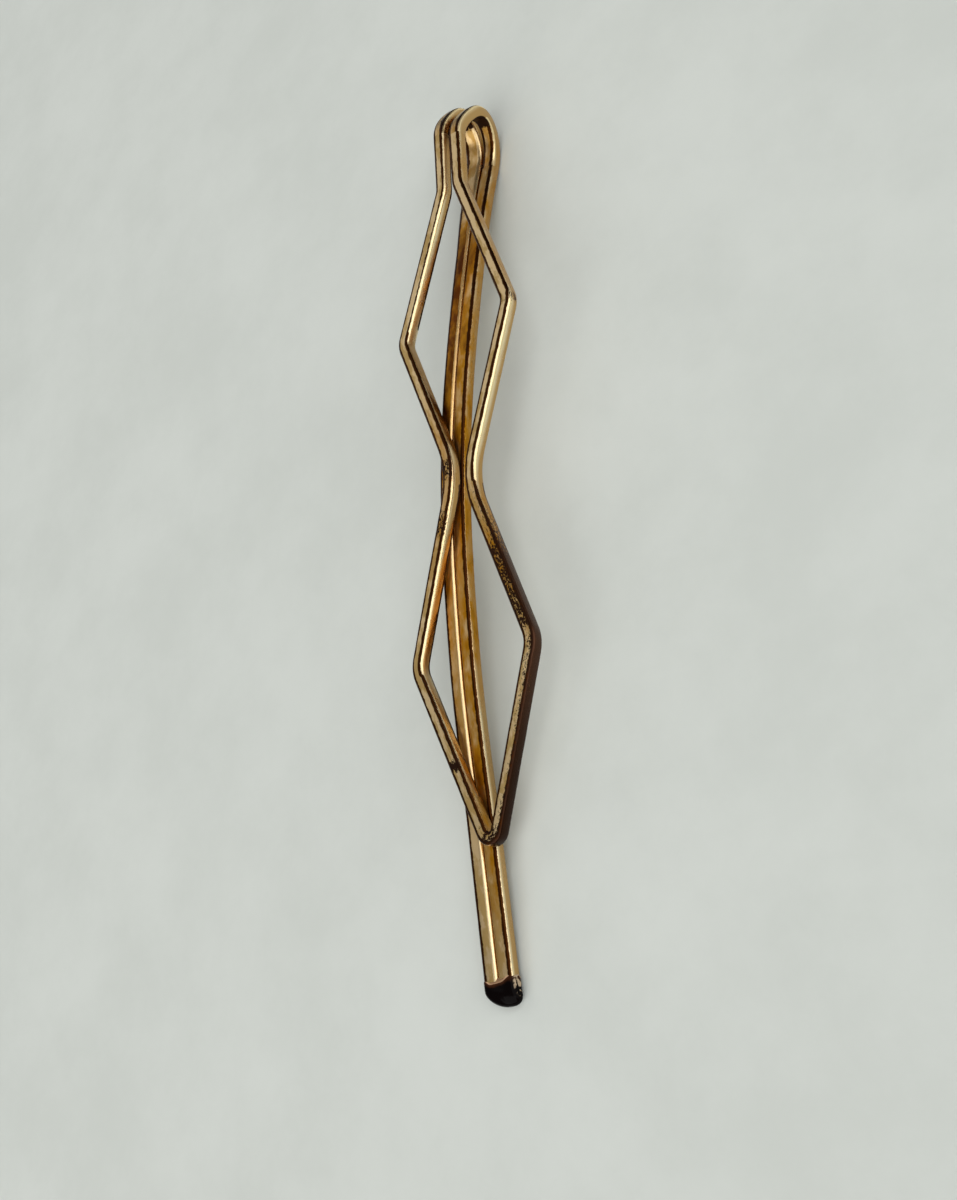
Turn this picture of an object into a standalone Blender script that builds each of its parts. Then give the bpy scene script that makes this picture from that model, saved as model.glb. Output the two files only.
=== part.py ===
# A sprung wire hair grip, bent from one length of square wire.
# The front is a pair of strands that open into two diamonds and meet in a
# folded nose. Both strands turn over in a spring loop and come back side by
# side as the back leg, whose two wire ends share one dipped bead.
# Metres. X is the width, Y runs from the bead to the loops, and Z points out
# of the front. The grip lies on its loops and its bead, and opens at the top
# of the loops.

import math

import bmesh
import bpy
from mathutils import Vector

for old in list(bpy.data.objects):
    bpy.data.objects.remove(old, do_unlink=True)

# The wire
WIRE = 0.00106  # side of the square wire
WIRE_ROUND_SHARE = 0.22  # corner radius as a share of the side
CORNER_STEPS = 3
BODY_CUT = 0.00005  # where one length of wire goes on in the next piece
HINGE_CUT = 0.00015  # where the loop flexes, wide enough to open

# The spring loops, measured to the middle of the wire
LOOP_RADIUS = 0.0023  # half its height
LOOP_REACH = 0.00275  # from its middle to its end
SHOULDER_SHARE = 0.057  # how much flatter its front shoulder is than an ellipse
LOOP_END_RISE = 0.0002  # its end stands a little above its middle
LEFT_LOOP_OUT = 0.00018  # the left loop reaches further than the right one
RIGHT_LOOP_OUT = -0.00048
LOOP_FRONT_GAP = 0.00062  # clear space between the two wires
LOOP_TOP_GAP = 0.00076
LOOP_BACK_GAP = 0.00034
LOOP_FRONT_SWAY = 0.00008  # the fronts of both loops stand a little to the left
LOOP_TOP_SWAY = 0.00055  # their ends lean to the right
LOOP_BACK_SWAY = 0.0002  # and their backs to the left
FRONT_LEAN = math.radians(2.1)  # how the front leg rises into the loop
BACK_LEAN = math.radians(15.4)  # how the back leg leaves it
LOOP_STEPS = 14  # on each half of a loop
HINGE_OUT = 0.0027  # where the loops flex

# The front strands: lengths along Y, widths between the two centre lines
NECK_LENGTH = 0.00508  # from the middle of the loops
REAR_SPREAD = 0.0122
REAR_CLOSE = 0.0125
FRONT_SPREAD = 0.0136
FRONT_CLOSE = 0.01215
REAR_DIAMOND_WIDTH = 0.0103
FRONT_DIAMOND_WIDTH = 0.01045
WAIST_GAP = 0.00025  # clear space if the waist had sharp corners
WAIST_SKEW = 0.0005  # the left strand turns here sooner, the right one later
KINK_BEND = 0.0020  # bend radii
REAR_BEND = 0.0016
WAIST_BEND = 0.0070
FRONT_BEND = 0.0022
BEND_STEPS = 6
NOSE_INSIDE = 0.00012  # inner radius of the fold at the nose
NOSE_ARM = 0.0026  # straight arms that belong to the nose
NOSE_STEPS = 12

# The back leg: heights above the table, below each place on the front
NOSE_HEIGHT = 0.00136
FRONT_HEIGHT = 0.00256
WAIST_HEIGHT = 0.00350
REAR_HEIGHT = 0.00324
TIP_REACH = 0.0116  # from the middle of the fold to the end of the bead
# Clear space between its two wires, and at the same places
TIP_GAP = 0.00044
NOSE_GAP = 0.00034
FRONT_GAP = 0.00026
MIDDLE_GAP = 0.00028
REAR_GAP = 0.00036
LEG_STEPS = 9  # between two of those places
# The leg isn't quite under the front: it stands off to the left
TIP_SWAY = 0.00106
NOSE_SWAY = 0.00165
FRONT_SWAY = 0.00203
WAIST_SWAY = 0.00172
REAR_SWAY = 0.00086

# Clear space between the legs, one above the other
NOSE_CLEARANCE = 0.00016
FRONT_CLEARANCE = 0.00026
WAIST_CLEARANCE = 0.00020
REAR_CLEARANCE = 0.00070

# The dipped bead on the wire ends
BEAD_COAT = 0.00012
BEAD_LENGTH = 0.0021
BEAD_TAPER = 0.0011  # the rounded end
BEAD_LIP = 0.00022  # the rounded start
BEAD_END_WALL = 0.00095  # bead beyond the wire ends, deep enough to cover their corners
SOCKET_CLEARANCE = 0.00003
WIRE_END_SHARE = 0.97  # each wire tapers a little inside the bead, to its sheared end
BEAD_ROUND_SHARE = 0.75  # corner radius as a share of half its height
LIP_SHARE = 0.93  # size of the bead where the dip starts
BEAD_END_SHARE = 0.22  # size of the last ring of the bead
BEAD_STEPS = 9

GOLD = (0.72, 0.52, 0.31, 1.0)
DARK = (0.012, 0.008, 0.006, 1.0)

UP = Vector((0.0, 0.0, 1.0))


def paint(name, colour, metallic, roughness):
    material = bpy.data.materials.new(name)
    material.use_nodes = True
    shader = material.node_tree.nodes["Principled BSDF"]
    shader.inputs["Base Color"].default_value = colour
    shader.inputs["Metallic"].default_value = metallic
    shader.inputs["Roughness"].default_value = roughness
    return material


def rounded_square(half_width, half_height, radius):
    # Corner points of the section, counter-clockwise from the right side.
    outline = []
    for quarter, (across, up) in enumerate(((1, 1), (-1, 1), (-1, -1), (1, -1))):
        for step in range(CORNER_STEPS + 1):
            turn = math.radians(90) * (quarter + step / CORNER_STEPS)
            outline.append(
                (
                    across * (half_width - radius) + radius * math.cos(turn),
                    up * (half_height - radius) + radius * math.sin(turn),
                )
            )
    return outline


def add_object(name, mesh_data, material, parent):
    mesh = bpy.data.meshes.new(name)
    bmesh.ops.recalc_face_normals(mesh_data, faces=mesh_data.faces)
    mesh_data.to_mesh(mesh)
    mesh_data.free()
    piece = bpy.data.objects.new(name, mesh)
    bpy.context.scene.collection.objects.link(piece)
    mesh.materials.append(material)
    mesh.shade_smooth()
    mesh.set_sharp_from_angle(angle=math.radians(40))
    if parent is not None:
        piece.parent = parent
        mesh.transform(parent.matrix_world.inverted())
    return piece


def loft(rings):
    # One closed skin over a row of rings that have as many points each.
    solid = bmesh.new()
    rows = [[solid.verts.new(point) for point in ring] for ring in rings]
    count = len(rows[0])
    for row, following in zip(rows, rows[1:]):
        for i in range(count):
            j = (i + 1) % count
            solid.faces.new((row[i], row[j], following[j], following[i]))
    solid.faces.new(rows[0])
    solid.faces.new(rows[-1])
    return solid


def directions(path):
    # At an inner point the wire runs along the mean of its two sides.
    found = []
    for i, point in enumerate(path):
        before = (point - path[i - 1]).normalized() if i else Vector()
        after = (path[i + 1] - point).normalized() if i + 1 < len(path) else Vector()
        found.append((before + after).normalized())
    return found


def wire_rings(path, outwards, half_width, half_height, radius):
    section = rounded_square(half_width, half_height, radius)
    rings = []
    for point, along, out in zip(path, directions(path), outwards):
        lift = (out - along * out.dot(along)).normalized()
        side = along.cross(lift)
        rings.append([point + side * across + lift * up for across, up in section])
    return rings


def wire(name, path, outwards, material, parent=None):
    rings = wire_rings(path, outwards, WIRE / 2, WIRE / 2, WIRE * WIRE_ROUND_SHARE)
    return add_object(name, loft(rings), material, parent)


def round_corners(corners, radii, steps):
    # The corners of a path replaced by arcs that touch both sides.
    path = [corners[0]]
    for before, corner, after, radius in zip(corners, corners[1:], corners[2:], radii):
        back = (before - corner).normalized()
        ahead = (after - corner).normalized()
        half = back.angle(ahead) / 2
        room = min((before - corner).length, (after - corner).length) / 2
        reach = min(radius / math.tan(half), room)
        radius = reach * math.tan(half)
        centre = corner + (back + ahead).normalized() * radius / math.sin(half)
        first = corner + back * reach - centre
        last = corner + ahead * reach - centre
        sweep = first.angle(last)
        for step in range(steps + 1):
            share = step / steps
            path.append(
                centre
                + (first * math.sin((1 - share) * sweep) + last * math.sin(share * sweep))
                / math.sin(sweep)
            )
    path.append(corners[-1])
    return path


def smooth_curve(places, values, first_slope, last_slope):
    # A curve through every value, as a function of the place along Y.
    slopes = [first_slope]
    for i in range(1, len(places) - 1):
        slopes.append((values[i + 1] - values[i - 1]) / (places[i + 1] - places[i - 1]))
    slopes.append(last_slope)

    def value_at(place):
        i = max(k for k in range(len(places) - 1) if place >= places[k] or k == 0)
        span = places[i + 1] - places[i]
        t = (place - places[i]) / span
        return (
            (2 * t**3 - 3 * t**2 + 1) * values[i]
            + (t**3 - 2 * t**2 + t) * span * slopes[i]
            + (3 * t**2 - 2 * t**3) * values[i + 1]
            + (t**3 - t**2) * span * slopes[i + 1]
        )

    return value_at


def ease(share):
    return share * share * (3 - 2 * share)


def trimmed(path, at_start, at_end):
    # Both end points drawn in along the wire.
    path = list(path)
    path[0] = path[0] + (path[1] - path[0]).normalized() * at_start
    path[-1] = path[-1] + (path[-2] - path[-1]).normalized() * at_end
    return path


# Half the distance between the middles of the two wires
front_half = (WIRE + LOOP_FRONT_GAP) / 2
top_half = (WIRE + LOOP_TOP_GAP) / 2
loop_back_half = (WIRE + LOOP_BACK_GAP) / 2
tip_half = (WIRE + TIP_GAP) / 2
leg_halves = [
    (WIRE + gap) / 2 for gap in (NOSE_GAP, FRONT_GAP, MIDDLE_GAP, REAR_GAP, LOOP_BACK_GAP)
]
waist_half = (WIRE + WAIST_GAP) / 2
nose_bend = WIRE / 2 + NOSE_INSIDE

# Places along Y, measured from the middle of the loops
loop_out = {-1: LEFT_LOOP_OUT, 1: RIGHT_LOOP_OUT}
front_turn = -math.atan(LOOP_REACH / LOOP_RADIUS * math.tan(FRONT_LEAN))
back_turn = math.pi + math.atan(LOOP_REACH / LOOP_RADIUS * math.tan(BACK_LEAN))
kink_y = -NECK_LENGTH
rear_y = kink_y - REAR_SPREAD
waist_y = rear_y - REAR_CLOSE
front_y = waist_y - FRONT_SPREAD
nose_y = front_y - FRONT_CLOSE
tip_y = nose_y - TIP_REACH
taper_y = tip_y + BEAD_TAPER
wire_end_y = tip_y + BEAD_END_WALL
loops_end_y = max(loop_out.values()) + LOOP_REACH + WIRE / 2
middle_y = (tip_y + loops_end_y) / 2

# Heights: the loops and the bead lie on the table
loop_z = LOOP_RADIUS + WIRE / 2
rear_z = REAR_HEIGHT + WIRE + REAR_CLEARANCE
waist_z = WAIST_HEIGHT + WIRE + WAIST_CLEARANCE
front_z = FRONT_HEIGHT + WIRE + FRONT_CLEARANCE
nose_z = NOSE_HEIGHT + WIRE + NOSE_CLEARANCE
bead_half_height = WIRE / 2 + BEAD_COAT
hinge = Vector((0.0, HINGE_OUT - middle_y, loop_z + LOOP_END_RISE))

front_hinge = bpy.data.objects.new("front_hinge", None)
bpy.context.scene.collection.objects.link(front_hinge)
front_hinge.location = hinge
front_hinge.empty_display_size = WIRE
bpy.context.view_layer.update()


def place(x, y, z):
    return Vector((x, y - middle_y, z))


# The spring loops, each in a front half that swings and a back half
def loop_point(side, turn, x):
    # Turn is 0 on top of the front, a quarter at the loop's end, a half under the back.
    size = 1.0
    rise = 0.0
    if 0 < turn < math.pi:
        rise = LOOP_END_RISE * math.sin(turn) ** 2
    if 0 < turn < math.pi / 2:
        size -= SHOULDER_SHARE * math.sin(2 * turn) ** 2
    y = loop_out[side] + LOOP_REACH * math.sin(turn) * size
    return place(x, y, loop_z + LOOP_RADIUS * math.cos(turn) * size + rise)


def loop_out_direction(side, turn):
    step = math.radians(0.01)
    along = loop_point(side, turn + step, 0.0) - loop_point(side, turn - step, 0.0)
    return Vector((0.0, -along.z, along.y)).normalized()


def loop_half(side, first_turn, last_turn, first_x, last_x, first_cut, last_cut):
    path = []
    outwards = []
    for step in range(LOOP_STEPS + 1):
        share = step / LOOP_STEPS
        turn = first_turn + (last_turn - first_turn) * share
        x = first_x + (last_x - first_x) * ease(share)
        path.append(loop_point(side, turn, x))
        outwards.append(loop_out_direction(side, turn))
    return trimmed(path, first_cut, last_cut), outwards


for word, side in (("left", -1), ("right", 1)):
    front_x = -LOOP_FRONT_SWAY + side * front_half
    top_x = LOOP_TOP_SWAY + side * top_half
    back_x = -LOOP_BACK_SWAY + side * loop_back_half
    end_turn = math.radians(90)
    path, outwards = loop_half(
        side, front_turn, end_turn, front_x, top_x, BODY_CUT / 2, HINGE_CUT / 2
    )
    material = paint("loop_front_%s_gold" % word, GOLD, 1.0, 0.24)
    wire("spring_loop_front_%s" % word, path, outwards, material, front_hinge)

    path, outwards = loop_half(
        side, end_turn, back_turn, top_x, back_x, HINGE_CUT / 2, BODY_CUT / 2
    )
    material = paint("loop_back_%s_gold" % word, GOLD, 1.0, 0.24)
    wire("spring_loop_back_%s" % word, path, outwards, material)

# The front: the fold of the nose lies in the plane of its two arms
nose_middle = place(0.0, nose_y, nose_z)
nose_up = (place(0.0, front_y, front_z) - nose_middle).normalized()
front_away = (place(0.0, front_y, front_z) - nose_middle).length
front_corner_half = FRONT_DIAMOND_WIDTH / 2
touch = math.atan2(front_corner_half, front_away) + math.acos(
    nose_bend / math.hypot(front_corner_half, front_away)
)


def nose_point(turn):
    across = Vector((math.sin(turn), 0.0, 0.0))
    return nose_middle + (across + nose_up * math.cos(turn)) * nose_bend


for word, side in (("left", -1), ("right", 1)):
    nose_touch = nose_point(side * touch)
    root = loop_point(side, front_turn, -LOOP_FRONT_SWAY + side * front_half)
    neck = root.y - place(0.0, kink_y, 0.0).y
    corners = [
        root,
        root - Vector((0.0, neck, neck * math.tan(FRONT_LEAN))),
        place(side * REAR_DIAMOND_WIDTH / 2, rear_y, rear_z),
        place(side * waist_half, waist_y - side * WAIST_SKEW, waist_z),
        place(side * front_corner_half, front_y, front_z),
        nose_touch,
    ]
    bends = (KINK_BEND, REAR_BEND, WAIST_BEND, FRONT_BEND)
    path = round_corners(corners, bends, BEND_STEPS)
    path = trimmed(path, BODY_CUT / 2, NOSE_ARM + BODY_CUT / 2)
    material = paint("zigzag_%s_gold" % word, GOLD, 1.0, 0.26)
    wire("front_zigzag_%s" % word, path, [UP] * len(path), material, front_hinge)

arms = []
for side in (1, -1):
    corner = place(side * front_corner_half, front_y, front_z)
    toe = nose_point(side * touch)
    arms.append(toe + (corner - toe).normalized() * (NOSE_ARM - BODY_CUT / 2))
path = [arms[0]]
for step in range(NOSE_STEPS + 1):
    path.append(nose_point(touch + (math.radians(360) - 2 * touch) * step / NOSE_STEPS))
path.append(arms[1])
wire(
    "front_nose",
    path,
    [UP] * len(path),
    paint("nose_gold", GOLD, 1.0, 0.3),
    front_hinge,
)

# The back leg: a straight tip, then an arch up to the loops
straight_rise = (NOSE_HEIGHT - bead_half_height) / (nose_y - taper_y)
straight_drift = (TIP_SWAY - NOSE_SWAY) / (nose_y - taper_y)
straight_spread = (leg_halves[0] - tip_half) / (nose_y - taper_y)
places = [nose_y, front_y, waist_y, rear_y]
leg_heights = {}
leg_sways = {}
leg_spreads = {}
root_places = {}
for side in (-1, 1):
    root = loop_point(side, back_turn, 0.0)
    root_places[side] = root.y + middle_y
    leg_heights[side] = smooth_curve(
        places + [root_places[side]],
        [NOSE_HEIGHT, FRONT_HEIGHT, WAIST_HEIGHT, REAR_HEIGHT, root.z],
        straight_rise,
        -math.tan(BACK_LEAN),
    )
    leg_sways[side] = smooth_curve(
        places + [root_places[side]],
        [-NOSE_SWAY, -FRONT_SWAY, -WAIST_SWAY, -REAR_SWAY, -LOOP_BACK_SWAY],
        straight_drift,
        0.0,
    )
    leg_spreads[side] = smooth_curve(
        places + [root_places[side]], leg_halves, straight_spread, 0.0
    )


def leg_point(side, y):
    if y <= nose_y:
        x = -NOSE_SWAY + straight_drift * (y - nose_y)
        z = NOSE_HEIGHT + straight_rise * (y - nose_y)
        half = leg_halves[0] + straight_spread * (y - nose_y)
    else:
        x = leg_sways[side](y)
        z = leg_heights[side](y)
        half = leg_spreads[side](y)
    return place(x + side * half, y, z)


for word, side in (("left", -1), ("right", 1)):
    path = [leg_point(side, wire_end_y), leg_point(side, tip_y + BEAD_LENGTH + BEAD_LIP)]
    stations = places + [root_places[side]]
    for first, last in zip(stations, stations[1:]):
        for step in range(LEG_STEPS):
            path.append(leg_point(side, first + (last - first) * step / LEG_STEPS))
    path.append(leg_point(side, root_places[side]))
    path = trimmed(path, 0.0, BODY_CUT / 2)
    downwards = [-UP] * len(path)
    rings = wire_rings(path, downwards, WIRE / 2, WIRE / 2, WIRE * WIRE_ROUND_SHARE)
    rings[0] = [path[0] + (point - path[0]) * WIRE_END_SHARE for point in rings[0]]
    material = paint("back_leg_%s_gold" % word, GOLD, 1.0, 0.24)
    add_object("back_leg_%s" % word, loft(rings), material, None)

# The bead, with a socket for each wire end
leg_along = (leg_point(0, nose_y) - leg_point(0, taper_y)).normalized()
bead_tip = leg_point(0, taper_y) - leg_along * BEAD_TAPER
bead_half_width = tip_half + WIRE / 2 + BEAD_COAT
rings = []


def bead_ring(distance, size):
    middle = bead_tip + leg_along * distance
    return wire_rings(
        [middle, middle + leg_along * BEAD_LENGTH],
        [UP, UP],
        bead_half_width * size,
        bead_half_height * size,
        bead_half_height * size * BEAD_ROUND_SHARE,
    )[0]


for step in range(BEAD_STEPS + 1):
    size = BEAD_END_SHARE + (1 - BEAD_END_SHARE) * math.sin(math.radians(90) * step / BEAD_STEPS)
    distance = BEAD_TAPER * (1 - math.sqrt(max(0.0, 1 - size**2)))
    rings.append(bead_ring(distance, size))
lip_start = BEAD_LENGTH - BEAD_LIP
for step in range(4):
    share = step / 3
    size = 1 - (1 - LIP_SHARE) * (1 - math.cos(math.radians(90) * share))
    rings.append(bead_ring(lip_start + BEAD_LIP * math.sin(math.radians(90) * share), size))
bead = add_object("tip_bead", loft(rings), paint("bead_dark", DARK, 0.0, 0.12), None)

for word, side in (("left", -1), ("right", 1)):
    socket = wire_rings(
        [
            leg_point(side, wire_end_y) - leg_along * SOCKET_CLEARANCE,
            leg_point(side, tip_y + BEAD_LENGTH) + leg_along * BEAD_LIP,
        ],
        [UP, UP],
        WIRE / 2 + SOCKET_CLEARANCE,
        WIRE / 2 + SOCKET_CLEARANCE,
        WIRE * WIRE_ROUND_SHARE,
    )
    cutter = add_object(
        "socket_%s_cutter" % word, loft(socket), paint("cutter_%s" % word, DARK, 0.0, 0.5), None
    )
    cutter.hide_render = True
    cutter.display_type = "WIRE"
    cut = bead.modifiers.new("socket_%s" % word, "BOOLEAN")
    cut.operation = "DIFFERENCE"
    cut.object = cutter
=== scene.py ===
import math

import bmesh
import bpy
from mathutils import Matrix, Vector, noise


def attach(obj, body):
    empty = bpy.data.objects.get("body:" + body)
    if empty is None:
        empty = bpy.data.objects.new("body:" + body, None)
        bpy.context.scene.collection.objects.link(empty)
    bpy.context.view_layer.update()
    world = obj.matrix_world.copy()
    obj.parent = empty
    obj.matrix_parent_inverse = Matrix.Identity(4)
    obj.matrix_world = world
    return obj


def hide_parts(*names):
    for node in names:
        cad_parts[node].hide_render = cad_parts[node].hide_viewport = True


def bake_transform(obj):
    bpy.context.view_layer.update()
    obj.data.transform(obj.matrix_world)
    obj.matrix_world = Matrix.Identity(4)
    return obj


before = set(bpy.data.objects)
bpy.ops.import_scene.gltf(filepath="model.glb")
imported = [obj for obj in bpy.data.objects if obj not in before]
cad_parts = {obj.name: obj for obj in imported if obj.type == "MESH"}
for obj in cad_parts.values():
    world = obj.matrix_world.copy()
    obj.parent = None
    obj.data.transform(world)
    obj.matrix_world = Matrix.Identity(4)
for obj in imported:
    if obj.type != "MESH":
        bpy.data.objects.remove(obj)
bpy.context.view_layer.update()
print("frame loaded:", ", ".join(sorted(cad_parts)))

# Metres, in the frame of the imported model: X is the width, Y runs from the dip to the loops,
# Z points out of the front. The whole grip is one square gold wire, so every stretch of it
# shares the section below.
up = Vector((0.0, 0.0, 1.0))

wireSection = {
    "side": 0.00106,
    "cornerRadius": 0.00025,
    "crown": 0.000014,  # how far a flat side falls away towards its corners
    "cornerSteps": 8,
    "flatSteps": 6,
    "cornerReach": 0.00040,  # how far from the middle of a corner its share runs out
    "leftShift": 0.00011,  # how far in on the flat side the painted dark reflection line of a left corner lies
    "lowShift": -0.00012,  # and how far down on the flank the painted shade line of a lower right corner lies
    "hairline": 0.00005,  # what shows between the two wires of the back leg
    "ringSpacing": 0.00022,
    "bendSteps": 24,
    "wobble": 0.000010,  # slow waviness of a wire bent by hand
    "wavesPerMetre": 260,
    "nicks": 0.000016,  # small dents along the corners
    "nicksAcross": 2600,  # per metre
    "nicksAlong": 900,
    "nicksFrom": 0.1,  # noise under this leaves a corner whole
    "trueRings": 5,  # at each end, where the stretch meets the next one
    "sideOverlap": 0.9,  # under 1, so the middle of a corner counts for both its sides
    "seedShift": 0.004,  # sets the noise of the stretches apart
    "sharpFrom": math.radians(50),
    "fading": {"wornAndShade": 1.2, "flankSheen": 1.6, "tarnishAndShade": 6.0},  # mm that a row fades over
}
# the shares that each point of the wire keeps, for the finish to read; corner holds the
# painted dark reflection line, low the painted shade of a lower flank
wireShares = ("corner", "flank", "low", "cornerHighlight", "wornAndShade", "flankSheen", "tarnishAndShade")

# The same lines as in the CAD: lengths along Y, heights above the table, widths between
# the middles of the two wires
grip = {
    "loopRadius": 0.0023,  # half the height of a spring loop
    "loopReach": 0.002737,
    "loopShoulder": 0.057,  # how much flatter than an ellipse its front shoulder is
    "loopEndRise": 0.0002,
    "loopOut": {-1: 0.00018, 1: -0.00048},  # the left loop reaches further
    "frontHalf": 0.00084,
    "topHalf": 0.00091,
    "loopFrontSway": 0.00008,  # to the left
    "loopTopSway": 0.00055,  # to the right
    "loopBackSway": 0.0002,  # to the left
    "waistHalf": 0.000655,
    "rearHalf": 0.00515,
    "diamondHalf": 0.005225,
    "frontLean": math.radians(2.1),
    "backLean": math.radians(15.4),
    "neck": 0.00508,
    "neckGrowth": 0.00007,  # how much wider each wire is there, towards the other one
    "backGrowth": {-1: 0.00048, 1: 0.0},  # and away from it, where the loops meet the back leg
    "backGrowthEnds": 0.009,
    "rearSpread": 0.0122,
    "rearClose": 0.0125,
    "frontSpread": 0.0136,
    "frontClose": 0.01215,
    "waistSkew": 0.0005,
    "bends": (0.0020, 0.0016, 0.0070, 0.0022),  # kink, rear corner, waist, front corner
    "noseBend": 0.00065,
    "noseArm": 0.0026,
    "legHeights": (0.00136, 0.00256, 0.00350, 0.00324),  # nose, front corner, waist, rear
    "legSways": (0.00165, 0.00203, 0.00172, 0.00086),
    "legHalves": (0.00070, 0.00066, 0.00067, 0.00071, 0.00070),  # the last at the loops
    "clearances": (0.00016, 0.00026, 0.00020, 0.00070),
    "tipReach": 0.0116,
    "tipSway": 0.00106,
    "tipHalf": 0.00075,
}

loopHeight = grip["loopRadius"] + wireSection["side"] / 2
frontTurn = -math.atan(grip["loopReach"] / grip["loopRadius"] * math.tan(grip["frontLean"]))
backTurn = math.pi + math.atan(
    grip["loopReach"] / grip["loopRadius"] * math.tan(grip["backLean"]))
kinkY = -grip["neck"]
rearY = kinkY - grip["rearSpread"]
waistY = rearY - grip["rearClose"]
cornerY = waistY - grip["frontSpread"]
noseY = cornerY - grip["frontClose"]
tipY = noseY - grip["tipReach"]
loopsEnd = grip["loopOut"][-1] + grip["loopReach"] + wireSection["side"] / 2
middleY = (tipY + loopsEnd) / 2
noseZ, cornerZ, waistZ, rearZ = [
    height + wireSection["side"] + clear
    for height, clear in zip(grip["legHeights"], grip["clearances"])
]


def place(x, y, z):
    return Vector((x, y - middleY, z))


def loopPoint(side, turn, x):
    # Turn is 0 on top of the front, a quarter at the loop's end, a half under the back
    size, rise = 1.0, 0.0
    if 0 < turn < math.pi:
        rise = grip["loopEndRise"] * math.sin(turn) ** 2
    if 0 < turn < math.pi / 2:
        size -= grip["loopShoulder"] * math.sin(2 * turn) ** 2
    y = grip["loopOut"][side] + grip["loopReach"] * math.sin(turn) * size
    return place(x, y, loopHeight + grip["loopRadius"] * math.cos(turn) * size + rise)


def squareSection():
    # Points round the section: across, up, distance in from the nearest corner's middle
    # (minus on a flank), signs of that corner, and how far on a flank
    s = wireSection
    half = s["side"] / 2
    flat = half - s["cornerRadius"]
    radius = s["cornerRadius"] - s["crown"]
    signs = ((1, 1), (-1, 1), (-1, -1), (1, -1))
    points = []
    for quarter in range(4):
        arcX, arcY = (flat * sign for sign in signs[quarter])
        inwards = 1 if quarter % 2 == 0 else -1
        for step in range(s["cornerSteps"] + 1):
            share = step / s["cornerSteps"]
            turn = math.radians(90) * (quarter + share)
            away = radius * math.radians(90) * (share - 0.5) * inwards
            points.append((arcX + radius * math.cos(turn), arcY + radius * math.sin(turn),
                           away, signs[quarter], math.cos(turn) ** 2))
        turn = math.radians(90) * (quarter + 1)
        for step in range(1, s["flatSteps"]):
            sideways = 2 * step / s["flatSteps"] - 1
            rise = half - s["crown"] * sideways ** 2
            away = (radius * math.radians(45) + flat * (1 - abs(sideways))) * inwards
            nearest = signs[quarter if sideways < 0 else (quarter + 1) % 4]
            points.append((rise * math.cos(turn) - flat * sideways * math.sin(turn),
                           rise * math.sin(turn) + flat * sideways * math.cos(turn),
                           away, nearest, math.cos(turn) ** 2))
    return points


def evenPath(path, outwards, growths):
    # The same line with points at an even spacing
    reach = [0.0]
    for before, after in zip(path, path[1:]):
        reach.append(reach[-1] + (after - before).length)
    count = max(2, round(reach[-1] / wireSection["ringSpacing"]))
    points, outs, grown = [], [], []
    i = 0
    for step in range(count + 1):
        there = reach[-1] * step / count
        while i < len(path) - 2 and reach[i + 1] < there:
            i += 1
        share = (there - reach[i]) / (reach[i + 1] - reach[i])
        points.append(path[i].lerp(path[i + 1], share))
        outs.append(outwards[i].lerp(outwards[i + 1], share).normalized())
        grown.append([a + (b - a) * share for a, b in zip(growths[i], growths[i + 1])])
    return points, outs, grown


def shareThere(rows, sides, along, rightwards, fading):
    # Rows hold side, first and last mm from the start of the wire, share at each of them
    # and, at the end of some, how much more there is towards the right of that side
    most = 0.0
    for side, first, last, firstShare, lastShare, *leans in rows:
        if side in sides:
            inside = min(along - first, last - along)
            fade = min(1.0, max(0.0, 0.5 + inside / fading))
            share = min(1.0, max(0.0, (along - first) / (last - first)))
            share = firstShare + (lastShare - firstShare) * share
            most = max(most, (share + sum(leans) * rightwards) * fade)
    return most


def strengthThere(rows, along):
    # Rows hold first and last mm from the start of the wire, and the share at each of them
    for first, last, firstShare, lastShare in rows:
        if first <= along <= last:
            return firstShare + (lastShare - firstShare) * (along - first) / (last - first)
    return 0.0


def closedSkin(name, skin, rows, sharpFrom):
    # Rings of points joined and closed at both ends, smooth but for the rims there
    for row, following in zip(rows, rows[1:]):
        for k in range(len(row)):
            j = (k + 1) % len(row)
            skin.faces.new((row[k], row[j], following[j], following[k]))
    skin.faces.new(rows[0])
    skin.faces.new(rows[-1])
    bmesh.ops.recalc_face_normals(skin, faces=skin.faces)
    mesh = bpy.data.meshes.new(name)
    skin.to_mesh(mesh)
    skin.free()
    mesh.shade_smooth()
    mesh.set_sharp_from_angle(angle=sharpFrom)
    piece = bpy.data.objects.new(name, mesh)
    bpy.context.scene.collection.objects.link(piece)
    return piece


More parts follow.
